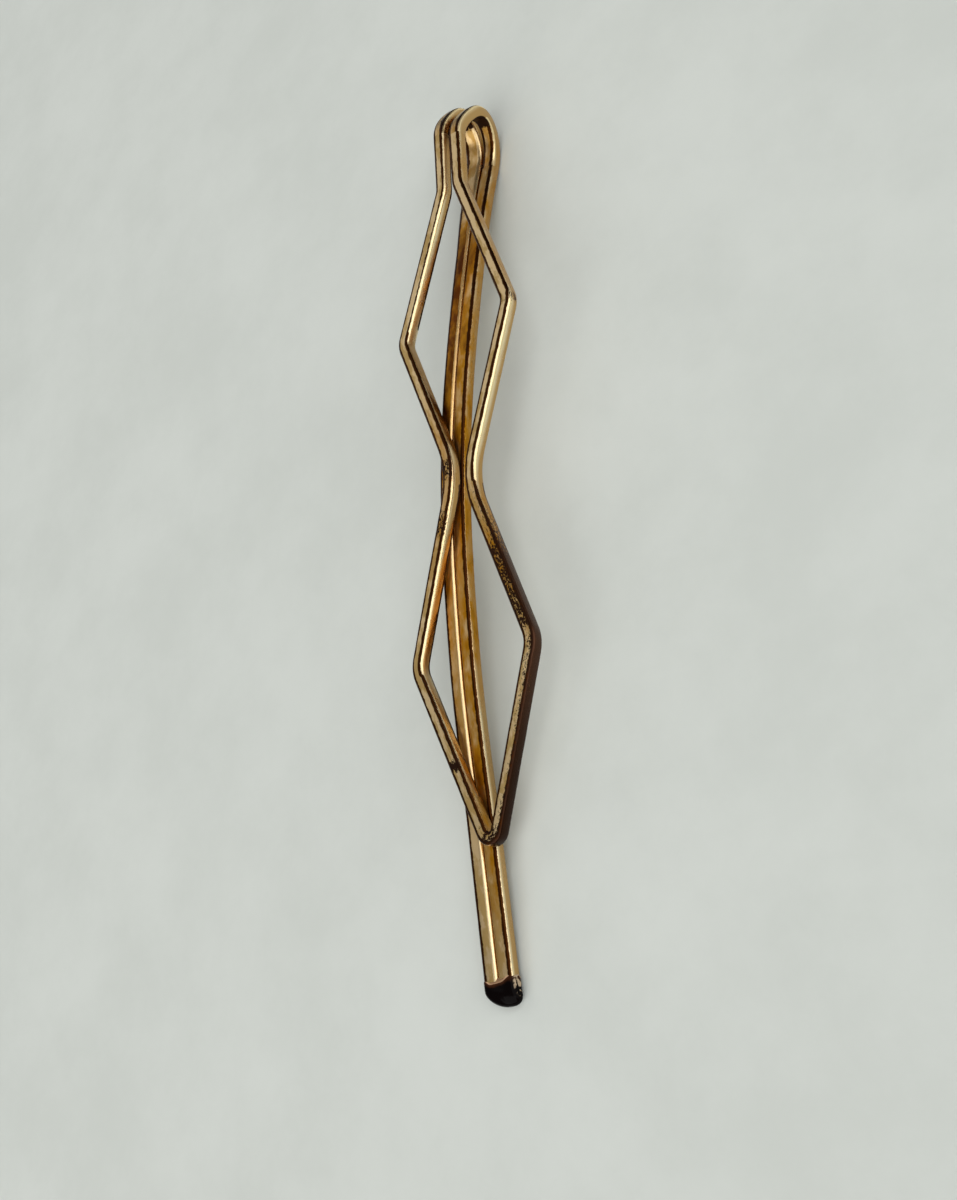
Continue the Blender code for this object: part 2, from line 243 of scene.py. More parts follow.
def bentWire(name, path, outwards, look, startWay=None, endWay=None, growths=None):
    # One stretch of the wire as a closed skin. Each point keeps what the finish reads:
    # wirePlace, its place on the straight wire, and the shares, where 1 is full and more
    # widens a line. Its sides are called outer, inner, left and right. Growths say how much
    # wider than the wire it is at each point of the path, to the left and to the right.
    s = wireSection
    section = squareSection()
    path, outwards, growths = evenPath(path, outwards, growths or [(0.0, 0.0)] * len(path))
    last = len(path) - 1
    skin = bmesh.new()
    placeLayer = skin.verts.layers.float_vector.new("wirePlace")
    layers = [skin.verts.layers.float.new(word + "Share") for word in wireShares]
    rows = []
    along = 0.0
    seed = look["seed"]
    for i, (point, out) in enumerate(zip(path, outwards)):
        if i:
            along += (point - path[i - 1]).length
        way = (path[min(i + 1, last)] - path[max(i - 1, 0)]).normalized()
        if i == 0 and startWay:
            way = startWay
        if i == last and endWay:
            way = endWay
        alongMm = along * 1000
        lineShift, lineStrength, lowLine, cornerHighlight, pale = [
            strengthThere(look.get(word, ()), alongMm)
            for word in ("lines", "lineStrengths", "lowLines", "cornerHighlight", "pale")]
        lift = (out - way * out.dot(way)).normalized()
        across = way.cross(lift)
        free = min(1.0, min(i, last - i) / s["trueRings"])
        spot = Vector((along * s["wavesPerMetre"], seed, 0.5))
        wave = abs(noise.noise(spot)) * s["wobble"] * free
        row = []
        for x, y, away, (signX, signY), flank in section:
            spot = Vector((x * s["nicksAcross"] + seed, y * s["nicksAcross"],
                           along * s["nicksAlong"]))
            rounded = max(0.0, 1 - abs(away) / s["cornerReach"])
            nick = (max(0.0, noise.noise(spot) - s["nicksFrom"]) * s["nicks"]
                    * rounded**2 * free)
            size = 1 - (nick + wave) / (s["side"] / 2)
            outside = across * x + lift * y
            sideways = outside.x / (s["side"] / 2)
            # painted shade: a flank is darker towards its bottom, less so where it is pale
            lowShade = min(1.0, max(0.0, 0.5 - outside.z / s["side"])) * (1 - pale)
            wider = growths[i][1] * max(0.0, 0.5 + 0.5 * sideways)
            wider -= growths[i][0] * max(0.0, 0.5 - 0.5 * sideways)
            vert = skin.verts.new(point + outside * size + Vector((wider, 0.0, 0.0)))
            sides = []
            if abs(y) > abs(x) * s["sideOverlap"]:
                sides.append("outer" if y > 0 else "inner")
            if abs(x) > abs(y) * s["sideOverlap"]:
                sides.append("right" if outside.x > 0 else "left")
            cornerWay = across * signX + lift * signY
            # painted dark reflection line along a corner, and painted shade line along a lower
            # right corner
            shift, strength = lineShift, lineStrength
            if cornerWay.x < 0:
                shift, strength = s["leftShift"], look.get("leftLine", 1.0)
            elif cornerWay.z < 0 and lowLine:
                shift, strength = s["lowShift"], lowLine
            paintedDarkLine = max(0.0, 1 - abs(away - shift) / s["cornerReach"]) * strength
            # painted highlight along an upper right corner
            highlight = rounded * cornerHighlight if cornerWay.x > 0 and cornerWay.z > 0 else 0.0
            shares = [paintedDarkLine, flank, lowShade, highlight]
            for word, fading in s["fading"].items():
                shares.append(
                    shareThere(look.get(word, ()), sides, alongMm, sideways, fading))
            vert[placeLayer] = (x + seed * s["seedShift"], y, along)
            for layer, share in zip(layers, shares):
                vert[layer] = share
            row.append(vert)
        rows.append(row)
    return closedSkin(name, skin, rows, s["sharpFrom"])


def roundedCorners(corners, radii):
    # The corners of a line replaced by arcs that touch both sides
    steps = wireSection["bendSteps"]
    path = [corners[0]]
    for before, corner, after, radius in zip(corners, corners[1:], corners[2:], radii):
        back = (before - corner).normalized()
        ahead = (after - corner).normalized()
        half = back.angle(ahead) / 2
        room = min((before - corner).length, (after - corner).length) / 2
        reach = min(radius / math.tan(half), room)
        radius = reach * math.tan(half)
        centre = corner + (back + ahead).normalized() * radius / math.sin(half)
        first = corner + back * reach - centre
        last = corner + ahead * reach - centre
        sweep = first.angle(last)
        for step in range(steps + 1):
            share = step / steps
            path.append(centre + (first * math.sin((1 - share) * sweep)
                                  + last * math.sin(share * sweep)) / math.sin(sweep))
    path.append(corners[-1])
    return path


def smoothCurve(places, values, firstSlope, lastSlope):
    slopes = [firstSlope]
    for i in range(1, len(places) - 1):
        slopes.append((values[i + 1] - values[i - 1]) / (places[i + 1] - places[i - 1]))
    slopes.append(lastSlope)

    def valueAt(there):
        i = max(k for k in range(len(places) - 1) if there >= places[k] or k == 0)
        span = places[i + 1] - places[i]
        t = (there - places[i]) / span
        return ((2 * t**3 - 3 * t**2 + 1) * values[i]
                + (t**3 - 2 * t**2 + t) * span * slopes[i]
                + (3 * t**2 - 2 * t**3) * values[i + 1]
                + (t**3 - t**2) * span * slopes[i + 1])

    return valueAt


# Finishes. Each effect is one node group, used with its own values by every material.
# A grain is a noise: its scale per metre, or None where the material gives it, then its scale
# along the wire as a share of that, its detail and its roughness.

effects = {
    "cloudGrain": (None, 0.35, 5.0, 0.6),
    "cloudSpread": 0.62,  # how wide the clouds run into each other, and how much less of
    "contrastSpread": 0.12,  # that there is at full contrast
    "flakeGrain": (None, 0.55, 7.0, 0.68),
    "flakesFrom": 0.46,
    "flakesTo": 0.56,
    "breakGrain": (5200.0, 0.4, 5.0, 0.7),
    "lineSoftness": 0.12,
    "tarnishAndShadeGrain": (None, 0.4, 5.0, 0.6),
    "tarnishAndShadeClouding": 1.6,
    "tarnishAndShadeFull": 0.4,  # the amount from which the clouds show in full
    "drawnGrain": (15000.0, 0.03, 3.0, 0.5),
    "pitGrain": (6500.0, 0.6, 4.0, 0.6),
    "pitsFrom": 0.38,
    "pitsTo": 0.55,
}


def startGroup(name, inputs, outputs):
    tree = bpy.data.node_groups.new(name, "ShaderNodeTree")
    for socketName, kind, value in inputs:
        socket = tree.interface.new_socket(name=socketName, in_out="INPUT", socket_type=kind)
        if value is not None:
            socket.default_value = value
    for socketName, kind in outputs:
        tree.interface.new_socket(name=socketName, in_out="OUTPUT", socket_type=kind)
    return tree, tree.nodes.new("NodeGroupInput"), tree.nodes.new("NodeGroupOutput")


def addMath(tree, operation, first, second=None, clamp=False):
    node = tree.nodes.new("ShaderNodeMath")
    node.operation = operation
    node.use_clamp = clamp
    for socket, value in zip(node.inputs, (first, second)):
        if isinstance(value, (int, float)):
            socket.default_value = value
        elif value is not None:
            tree.links.new(value, socket)
    return node.outputs[0]


def addStep(tree, value, low, high):
    # A smooth step from 0 to 1 between two levels
    node = tree.nodes.new("ShaderNodeMapRange")
    node.interpolation_type = "SMOOTHSTEP"
    tree.links.new(value, node.inputs["Value"])
    for socketName, level in (("From Min", low), ("From Max", high)):
        if isinstance(level, (int, float)):
            node.inputs[socketName].default_value = level
        else:
            tree.links.new(level, node.inputs[socketName])
    return node.outputs["Result"]


def addNoise(tree, placeSocket, grain, scaleSocket=None):
    scale, stretch, detail, rough = grain
    stretched = tree.nodes.new("ShaderNodeVectorMath")
    stretched.operation = "MULTIPLY"
    stretched.inputs[1].default_value = (1.0, 1.0, stretch)
    tree.links.new(placeSocket, stretched.inputs[0])
    node = tree.nodes.new("ShaderNodeTexNoise")
    tree.links.new(stretched.outputs[0], node.inputs["Vector"])
    if scaleSocket is None:
        node.inputs["Scale"].default_value = scale
    else:
        tree.links.new(scaleSocket, node.inputs["Scale"])
    node.inputs["Detail"].default_value = detail
    node.inputs["Roughness"].default_value = rough
    return node.outputs["Fac"]


def mixColours(tree, factor, first, second):
    node = tree.nodes.new("ShaderNodeMix")
    node.data_type = "RGBA"
    for socket, value in ((node.inputs["Factor"], factor), (node.inputs[6], first),
                          (node.inputs[7], second)):
        if isinstance(value, (int, float, tuple)):
            socket.default_value = value
        else:
            tree.links.new(value, socket)
    return node.outputs[2]


def buildCloudyPlating():
    # Plating that has gone uneven: two golds in soft clouds, drawn out along the wire
    tree, given, result = startGroup(
        "cloudyPlating",
        [("Place", "NodeSocketVector", None), ("Pale Gold", "NodeSocketColor", None),
         ("Deep Gold", "NodeSocketColor", None), ("Clouds per mm", "NodeSocketFloat", 0.8),
         ("Contrast", "NodeSocketFloat", 0.5)],
        [("Color", "NodeSocketColor"), ("Cloud", "NodeSocketFloat")])
    perMetre = addMath(tree, "MULTIPLY", given.outputs["Clouds per mm"], 1000.0)
    cloud = addNoise(tree, given.outputs["Place"], effects["cloudGrain"], perMetre)
    high = addMath(tree, "SUBTRACT", effects["cloudSpread"], addMath(
        tree, "MULTIPLY", given.outputs["Contrast"], effects["contrastSpread"]))
    low = addMath(tree, "SUBTRACT", 1.0, high)
    cloud = addStep(tree, cloud, low, high)
    tree.links.new(cloud, result.inputs["Cloud"])
    tree.links.new(mixColours(tree, cloud, given.outputs["Pale Gold"],
                              given.outputs["Deep Gold"]), result.inputs["Color"])
    return tree


def buildRaggedWearAndShade():
    # Where the plating has worn through, with torn edges; the same mask paints the shade in
    # the hollow of the loops
    tree, given, result = startGroup(
        "raggedWearAndShade",
        [("Place", "NodeSocketVector", None), ("Amount", "NodeSocketFloat", 0.0),
         ("Flakes per mm", "NodeSocketFloat", 2.2), ("Raggedness", "NodeSocketFloat", 1.6)],
        [("Mask", "NodeSocketFloat")])
    perMetre = addMath(tree, "MULTIPLY", given.outputs["Flakes per mm"], 1000.0)
    flakes = addNoise(tree, given.outputs["Place"], effects["flakeGrain"], perMetre)
    torn = addMath(tree, "MULTIPLY", addMath(tree, "SUBTRACT", flakes, 0.5),
                   given.outputs["Raggedness"])
    level = addMath(tree, "ADD", given.outputs["Amount"], torn)
    tree.links.new(addStep(tree, level, effects["flakesFrom"], effects["flakesTo"]),
                   result.inputs["Mask"])
    return tree


def buildCornerLine():
    # A thin broken line along a corner, the mask for the painted dark reflection line and for
    # the painted corner highlight
    tree, given, result = startGroup(
        "cornerLine",
        [("Place", "NodeSocketVector", None), ("Corner", "NodeSocketFloat", 0.0),
         ("Reach", "NodeSocketFloat", 0.3), ("Break", "NodeSocketFloat", 0.6)],
        [("Mask", "NodeSocketFloat")])
    breaks = addNoise(tree, given.outputs["Place"], effects["breakGrain"])
    broken = addMath(tree, "MULTIPLY", addMath(tree, "SUBTRACT", breaks, 0.5),
                     given.outputs["Break"])
    level = addMath(tree, "ADD", given.outputs["Corner"], broken)
    start = addMath(tree, "SUBTRACT", 1.0, given.outputs["Reach"])
    end = addMath(tree, "ADD", start, effects["lineSoftness"])
    tree.links.new(addStep(tree, level, start, end), result.inputs["Mask"])
    return tree


def buildBrownTarnishAndShade():
    # Brown tarnish, and painted shade, in clouds. Thin is full at half the level, where Thick
    # starts
    tree, given, result = startGroup(
        "brownTarnishAndShade",
        [("Place", "NodeSocketVector", None), ("Amount", "NodeSocketFloat", 0.0),
         ("Clouds per mm", "NodeSocketFloat", 1.3)],
        [("Thin", "NodeSocketFloat"), ("Thick", "NodeSocketFloat")])
    perMetre = addMath(tree, "MULTIPLY", given.outputs["Clouds per mm"], 1000.0)
    clouds = addNoise(tree, given.outputs["Place"], effects["tarnishAndShadeGrain"], perMetre)
    clouding = addMath(tree, "MULTIPLY", addMath(tree, "SUBTRACT", clouds, 0.5),
                       effects["tarnishAndShadeClouding"])
    showing = addStep(tree, given.outputs["Amount"], 0.0, effects["tarnishAndShadeFull"])
    level = addMath(tree, "ADD", given.outputs["Amount"],
                    addMath(tree, "MULTIPLY", clouding, showing), clamp=True)
    tree.links.new(addMath(tree, "MULTIPLY", level, 2.0, clamp=True), result.inputs["Thin"])
    thick = addMath(tree, "SUBTRACT", addMath(tree, "MULTIPLY", level, 2.0), 1.0, clamp=True)
    tree.links.new(thick, result.inputs["Thick"])
    return tree


def buildDrawnSurface():
    # Fine lines from drawing the wire, with small pits between them
    tree, given, result = startGroup(
        "drawnSurface",
        [("Place", "NodeSocketVector", None), ("Lines", "NodeSocketFloat", 0.5),
         ("Pits", "NodeSocketFloat", 0.5)],
        [("Height", "NodeSocketFloat")])
    lines = addNoise(tree, given.outputs["Place"], effects["drawnGrain"])
    pits = addNoise(tree, given.outputs["Place"], effects["pitGrain"])
    pits = addStep(tree, pits, effects["pitsFrom"], effects["pitsTo"])
    lines = addMath(tree, "MULTIPLY", lines, given.outputs["Lines"])
    pits = addMath(tree, "MULTIPLY", pits, given.outputs["Pits"])
    tree.links.new(addMath(tree, "ADD", lines, pits), result.inputs["Height"])
    return tree


finishGroups = {
    "cloudyPlating": buildCloudyPlating(),
    "raggedWearAndShade": buildRaggedWearAndShade(),
    "cornerLine": buildCornerLine(),
    "brownTarnishAndShade": buildBrownTarnishAndShade(),
    "drawnSurface": buildDrawnSurface(),
}


def useGroup(tree, name, values):
    node = tree.nodes.new("ShaderNodeGroup")
    node.node_tree = finishGroups[name]
    for socketName, value in values.items():
        if isinstance(value, (int, float, tuple)):
            node.inputs[socketName].default_value = value
        else:
            tree.links.new(value, node.inputs[socketName])
    return node.outputs


def startMaterial(name):
    material = bpy.data.materials.new(name)
    material.use_nodes = True
    return material, material.node_tree, material.node_tree.nodes["Principled BSDF"]


def readAttribute(tree, name, vector=False):
    node = tree.nodes.new("ShaderNodeAttribute")
    node.attribute_name = name
    return node.outputs["Vector" if vector else "Fac"]


goldLook = {
    "faceGold": (0.80, 0.59, 0.31, 1.0),  # outer and inner sides
    "faceDeep": (0.60, 0.40, 0.15, 1.0),
    "faceContrast": 0.6,
    "flankSheenColour": (1.0, 0.84, 0.56, 1.0),  # painted sheen on the flanks
    "flankDull": (0.62, 0.40, 0.18, 1.0),
    "flankShade": (0.56, 0.35, 0.14, 1.0),  # painted shade on their lower halves
    "lowFrom": 0.16,
    "lowTo": 0.42,
    "flankFrom": 0.35,  # shares between which a rounded corner goes over to its flank
    "flankTo": 0.75,
    "sheenClouding": 0.5,
    "amber": (0.50, 0.22, 0.010, 1.0),  # tarnish in the places that fingers don't reach, and painted shade and reflection under the front strands,
    "amberDark": (0.14, 0.040, 0.003, 1.0),  # and where it is thick
    "highlightCream": (0.98, 0.78, 0.45, 1.0),  # painted highlight along the corners
    "highlightWarm": (0.92, 0.58, 0.22, 1.0),
    # bare metal where worn through, and painted shade in the hollow of the loops
    "bareMetalAndShade": (0.026, 0.0085, 0.0025, 1.0),
    "bareWarm": (0.026, 0.0085, 0.0025, 1.0),  # painted sheen on bare metal, where a flank has the painted sheen
    # painted dark reflection along the corners, and painted shade along the lower ones
    "paintedLineColour": (0.055, 0.016, 0.003, 1.0),
    "faceRoughness": 0.32,
    "flankRoughness": 0.20,
    "bareRoughness": 0.42,
    "cloudRoughness": 0.10,  # added in the clouds
    "bareOxide": 0.12,  # how much less metallic bare metal is
    "bareDepth": 0.9,  # how far it stands back
    "cloudsPerMm": 1.0,
    "tarnishAndShadePerMm": 1.3,
    "warmPerTarnishAndShade": 1.3,  # how soon the painted corner highlights turn warm under tarnish and painted shade
    "warmPerSheen": 2.0,
    "flakesPerMm": 9.0,
    "raggedness": 1.5,
    "lineReach": 0.40,
    "lineBreak": 0.55,
    "highlightReach": 0.55,
    "highlightBreak": 0.35,
    "lines": 0.5,
    "pits": 0.5,
    "bumpDepth": 0.000006,
}


def goldFinish(name, **changes):
    look = dict(goldLook, **changes)
    material, tree, shader = startMaterial(name)
    there = readAttribute(tree, "wirePlace", vector=True)
    corner, flank, low, cornerHighlight, wornAndShade, flankSheen, tarnishAndShade = [
        readAttribute(tree, word + "Share") for word in wireShares]

    face = useGroup(tree, "cloudyPlating", {
        "Place": there, "Pale Gold": look["faceGold"], "Deep Gold": look["faceDeep"],
        "Clouds per mm": look["cloudsPerMm"], "Contrast": look["faceContrast"]})
    amber = useGroup(tree, "brownTarnishAndShade", {
        "Place": there, "Amount": tarnishAndShade, "Clouds per mm": look["tarnishAndShadePerMm"]})
    wearAndShade = useGroup(tree, "raggedWearAndShade", {
        "Place": there, "Amount": wornAndShade, "Flakes per mm": look["flakesPerMm"],
        "Raggedness": look["raggedness"]})
    paintedDarkLine = useGroup(tree, "cornerLine", {
        "Place": there, "Corner": corner, "Reach": look["lineReach"],
        "Break": look["lineBreak"]})
    highlight = useGroup(tree, "cornerLine", {
        "Place": there, "Corner": cornerHighlight, "Reach": look["highlightReach"],
        "Break": look["highlightBreak"]})
    skin = useGroup(tree, "drawnSurface", {
        "Place": there, "Lines": look["lines"], "Pits": look["pits"]})

    flankMask = addStep(tree, flank, look["flankFrom"], look["flankTo"])
    # painted sheen on the flanks, broken up by the clouds
    clouding = addMath(tree, "MULTIPLY", addMath(tree, "SUBTRACT", 0.5, face["Cloud"]),
                       look["sheenClouding"])
    sheen = addMath(tree, "ADD", flankSheen, clouding, clamp=True)
    side = mixColours(tree, sheen, look["flankDull"], look["flankSheenColour"])
    # painted shade on the lower half of a flank
    side = mixColours(tree, addStep(tree, low, look["lowFrom"], look["lowTo"]), side,
                      look["flankShade"])
    gold = mixColours(tree, flankMask, face["Color"], side)
    # amber tarnish, and painted shade and reflection under the front strands
    gold = mixColours(tree, amber["Thin"], gold, look["amber"])
    gold = mixColours(tree, amber["Thick"], gold, look["amberDark"])
    # painted highlight along the corners, warmer under tarnish and painted shade
    warm = addMath(tree, "MULTIPLY", tarnishAndShade, look["warmPerTarnishAndShade"], clamp=True)
    highlightGold = mixColours(tree, warm, look["highlightCream"], look["highlightWarm"])
    gold = mixColours(tree, highlight["Mask"], gold, highlightGold)
    # painted dark reflection line along the corners
    lined = mixColours(tree, paintedDarkLine["Mask"], gold, look["paintedLineColour"])
    # painted sheen on bare metal where its flank has the painted sheen
    warm = addMath(tree, "MULTIPLY", flankSheen, look["warmPerSheen"], clamp=True)
    bareAndShade = mixColours(tree, warm, look["bareMetalAndShade"], look["bareWarm"])
    # bare metal where worn through, and painted shade in the hollow of the loops
    coloured = mixColours(tree, wearAndShade["Mask"], lined, bareAndShade)
    tree.links.new(coloured, shader.inputs["Base Color"])

    rough = addMath(tree, "ADD", look["faceRoughness"],
                    addMath(tree, "MULTIPLY", face["Cloud"], look["cloudRoughness"]))
    for mask, word in ((flankMask, "flankRoughness"), (wearAndShade["Mask"], "bareRoughness")):
        change = addMath(tree, "MULTIPLY", mask, look[word] - look["faceRoughness"])
        rough = addMath(tree, "ADD", rough, change, clamp=True)
    tree.links.new(rough, shader.inputs["Roughness"])

    # bare metal has lost its plating, so it stands back and is part oxide
    oxide = addMath(tree, "MULTIPLY", wearAndShade["Mask"], look["bareOxide"])
    tree.links.new(addMath(tree, "SUBTRACT", 1.0, oxide), shader.inputs["Metallic"])
    height = addMath(tree, "SUBTRACT", skin["Height"],
                     addMath(tree, "MULTIPLY", wearAndShade["Mask"], look["bareDepth"]))
    bump = tree.nodes.new("ShaderNodeBump")
    bump.inputs["Strength"].default_value = 1.0
    bump.inputs["Distance"].default_value = look["bumpDepth"]
    tree.links.new(height, bump.inputs["Height"])
    tree.links.new(bump.outputs["Normal"], shader.inputs["Normal"])
    return material


def finishPiece(piece, material, body, nodes):
    piece.data.materials.append(material)
    if body:
        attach(piece, body)
    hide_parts(*nodes)


# Spring loops: each is one unbroken half turn

springLoops = {
    "steps": 120,
    "turnStep": 0.0002,  # for reading the direction of a loop
    "growthFrom": 0.35,  # share of the way at which the left loop starts to grow wider
    "growthOver": 0.3,
    "left": {
        "seed": 1.0,
        "lines": ((-1, 99, 0.00015, 0.00015),),
        "lineStrengths": ((-1, 5, 1.0, 1.0), (5, 99, 0.0, 0.0)),
        # painted shade: a dark band along the lower right corner of the loop's flank
        "lowLines": ((-1, 5.2, 1.7, 1.3),),
        "cornerHighlight": ((-1, 99, 0.9, 0.9),),
        # the inner row paints the shade in the hollow of the loop
        "wornAndShade": (("outer", 0.3, 4.6, 0.38, 0.34, 0.35), ("inner", 1.2, 5.0, 0.9, 0.9),
                 ("right", 3.6, 4.6, 0.5, 0.5)),
        "flankSheen": (("right", -2.0, 30.0, 0.8, 0.6),),
        "tarnishAndShade": (("inner", 4.0, 30.0, 0.22, 0.25), ("outer", 1.0, 30.0, 0.3, 0.3),
                    ("left", -2.0, 30.0, 0.6, 0.6), ("right", -2.0, 3.0, 0.45, 0.2),
                    ("right", 3.0, 30.0, 0.2, 0.2)),
    },
    "right": {
        "seed": 2.0,
        "lines": ((-1, 99, 0.00015, 0.00015),),
        "lineStrengths": ((-1, 99, 1.0, 1.0),),
        "cornerHighlight": ((-1, 99, 0.9, 0.9),),
        # the inner row paints the shade in the hollow of the loop
        "wornAndShade": (("inner", 0.6, 5.0, 0.95, 0.95), ("outer", 1.2, 4.6, 0.34, 0.30, 0.3)),
        "flankSheen": (("right", -2.0, 4.0, 0.4, 0.7), ("right", 2.0, 30.0, 0.9, 0.6)),
        "tarnishAndShade": (("inner", 4.0, 30.0, 0.35, 0.30), ("left", -2.0, 30.0, 0.6, 0.6),
                    ("outer", -2.0, 30.0, 0.25, 0.3), ("right", 6.0, 30.0, 0.2, 0.3)),
    },
    # heights between which a loop goes over from the back leg to the front leg
    "bendFrom": 0.00112,
    "bendTo": 0.00455,
}


def bothWays(side, towards, away=0.0):
    # How much wider a wire is to its left and right, from what it is towards the other wire
    # and away from it
    return (towards, away) if side > 0 else (away, towards)


def loopPath(side):
    # Each loop is a little wider towards the other one, like the wires that it runs into,
    # and the left one's back is wider away from it too
    path, outwards, growths = [], [], []
    firstGrowth = grip["neckGrowth"]
    lastGrowth = grip["legHalves"][-1] - (wireSection["side"] + wireSection["hairline"]) / 2
    ends = (side * grip["frontHalf"] - grip["loopFrontSway"],
            side * grip["topHalf"] + grip["loopTopSway"],
            side * grip["legHalves"][-1] - grip["loopBackSway"])
    turns = (frontTurn, math.radians(90), backTurn)
    for half in range(2):
        for step in range(springLoops["steps"] + 1):
            if half and step == 0:
                continue
            share = step / springLoops["steps"]
            turn = turns[half] + (turns[half + 1] - turns[half]) * share
            x = ends[half] + (ends[half + 1] - ends[half]) * share * share * (3 - 2 * share)
            path.append(loopPoint(side, turn, x))
            along = (loopPoint(side, turn + springLoops["turnStep"], 0.0)
                     - loopPoint(side, turn - springLoops["turnStep"], 0.0))
            outwards.append(Vector((0.0, -along.z, along.y)).normalized())
            way = (half + share) / 2
            towards = firstGrowth + (lastGrowth - firstGrowth) * way
            backShare = (way - springLoops["growthFrom"]) / springLoops["growthOver"]
            away = grip["backGrowth"][side] * min(1.0, max(0.0, backShare))
            growths.append(bothWays(side, towards, away))
    return path, outwards, growths


frontWay = Vector((0.0, math.cos(grip["frontLean"]), math.sin(grip["frontLean"])))
backWay = Vector((0.0, math.cos(grip["backLean"]), -math.sin(grip["backLean"])))

for word, side in (("left", -1), ("right", 1)):
    path, outwards, growths = loopPath(side)
    look = springLoops[word]
    loop = bentWire("springLoop" + word.capitalize(), path, outwards, look, frontWay, -backWay,
                    growths)
    finishPiece(loop, goldFinish("loopGold" + word.capitalize()), None,
                ["spring_loop_front_" + word, "spring_loop_back_" + word])
    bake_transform(loop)
print("spring loops bent")

# Front strands: kink, two diamonds and the straight arm that runs into the nose

frontStrands = {
    "left": {
        "seed": 3.0,
        "finish": {},
        # stretches in mm, and how far in on the front the painted dark reflection line of the
        # right corner lies
        "lines": ((-1, 17, 0.00018, 0.00016), (17, 31, 0.00012, 0.00012),
                  (31, 46, 0.00018, 0.00022), (46, 60, 0.00012, 0.00012)),
        "lineStrengths": ((-1, 6, 1.0, 0.85), (6, 17, 0.80, 0.85), (17, 60, 1.0, 1.0)),
        "lowLines": ((-2, 16.5, 0.95, 0.95), (31.5, 60, 1.0, 1.0)),
        "cornerHighlight": ((-1, 8, 0.9, 1.0), (8, 18.2, 1.2, 2.4), (31.5, 44.4, 1.0, 1.0),
                   (44.4, 45.4, 1.0, 2.2), (45.4, 46.8, 2.2, 1.6), (46.8, 53, 0.9, 0.7)),
        # how much of the painted shade on the lower half of a flank is taken away
        "pale": ((4, 15, 0.1, 0.6), (15, 17, 0.6, 0.95), (17, 19, 0.95, 0.35),
                 (19, 31, 0.35, 0.3), (44.4, 46, 0.0, 0.6), (46, 48, 0.6, 0.75),
                 (48, 60, 0.75, 0.5)),
        "wornAndShade": (("outer", 29.4, 31.6, 0.56, 0.56), ("outer", 33.4, 36.0, 0.53, 0.53),
                 ("outer", 53.0, 53.9, 0.95, 0.95), ("outer", 46.0, 58.0, 0.24, 0.24, 0.3),
                 ("outer", -2.0, 46.0, 0.19, 0.19, 0.07),
                 ("outer", 31.6, 41.0, 0.3, 0.24, 0.1),
                 ("right", 4.0, 18.0, 0.2, 0.2), ("right", 31.0, 46.0, 0.18, 0.2)),
        "flankSheen": (("right", -2.0, 17.5, 0.8, 1.0), ("right", 17.0, 32.0, 0.35, 0.45),
                   ("right", 30.0, 46.4, 0.6, 0.8), ("right", 46.0, 60.0, 0.95, 0.8)),
        "tarnishAndShade": (("outer", 26.0, 38.0, 0.3, 0.3), ("right", 20.0, 32.0, 0.25, 0.25),
                    ("right", 50.0, 60.0, 0.1, 0.45)),
    },
    "right": {
        "seed": 4.0,
        # the worn right flank of this strand has a painted sheen
        "finish": {"bareWarm": (0.070, 0.029, 0.014, 1.0), "bareRoughness": 0.36},
        "lines": ((-1, 17, 0.00008, 0.00008), (17, 31.5, 0.00018, 0.00022),
                  (31.5, 60, 0.00010, 0.00010)),
        "lineStrengths": ((-1, 60, 1.0, 1.0),),
        "lowLines": ((31.5, 60, 1.0, 1.0),),
        "cornerHighlight": ((-1, 5, 0.9, 0.3), (17.6, 28.5, 1.8, 1.6), (28.5, 32.5, 1.6, 0.5)),
        "pale": ((17.6, 28.5, 0.42, 0.35), (28.5, 33.0, 0.35, 0.0)),
        "wornAndShade": (("right", 16.6, 18.0, 0.5, 0.5), ("outer", 17.2, 18.0, 0.46, 0.46),
                 ("outer", 31.5, 38.0, 0.28, 0.46, 0.2), ("outer", 36.6, 44.4, 0.58, 0.60),
                 ("right", 19.0, 32.0, 0.2, 0.24), ("right", 33.0, 39.0, 0.3, 0.75),
                 ("right", 38.0, 46.0, 0.75, 0.75), ("outer", 44.0, 52.0, 0.5, 0.35, 0.25),
                 ("outer", -2.0, 32.0, 0.16, 0.16, 0.06), ("right", 45.0, 60.0, 0.72, 0.9),
                 ("outer", 49.0, 60.0, 0.2, 0.42, 0.4)),
        "flankSheen": (("right", -2.0, 17.0, 0.3, 0.3), ("right", 17.0, 31.6, 1.0, 1.0),
                   ("right", 31.0, 46.0, 0.45, 0.5), ("right", 44.6, 54.0, 0.5, 0.0)),
        "tarnishAndShade": (("outer", 33.0, 43.0, 0.3, 0.3), ("right", -2.0, 16.0, 0.1, 0.3),
                    ("right", 31.0, 50.0, 0.3, 0.9)),
    },
}

noseMiddle = place(0.0, noseY, noseZ)
noseUp = (place(0.0, cornerY, cornerZ) - noseMiddle).normalized()
cornerAway = (place(0.0, cornerY, cornerZ) - noseMiddle).length
touch = math.atan2(grip["diamondHalf"], cornerAway) + math.acos(
    grip["noseBend"] / math.hypot(grip["diamondHalf"], cornerAway))


def nosePoint(turn):
    sideways = Vector((math.sin(turn), 0.0, 0.0))
    return noseMiddle + (sideways + noseUp * math.cos(turn)) * grip["noseBend"]


def armEnd(side):
    # Where a strand's arm hands over to the nose
    toe = nosePoint(side * touch)
    corner = place(side * grip["diamondHalf"], cornerY, cornerZ)
    return toe + (corner - toe).normalized() * grip["noseArm"]


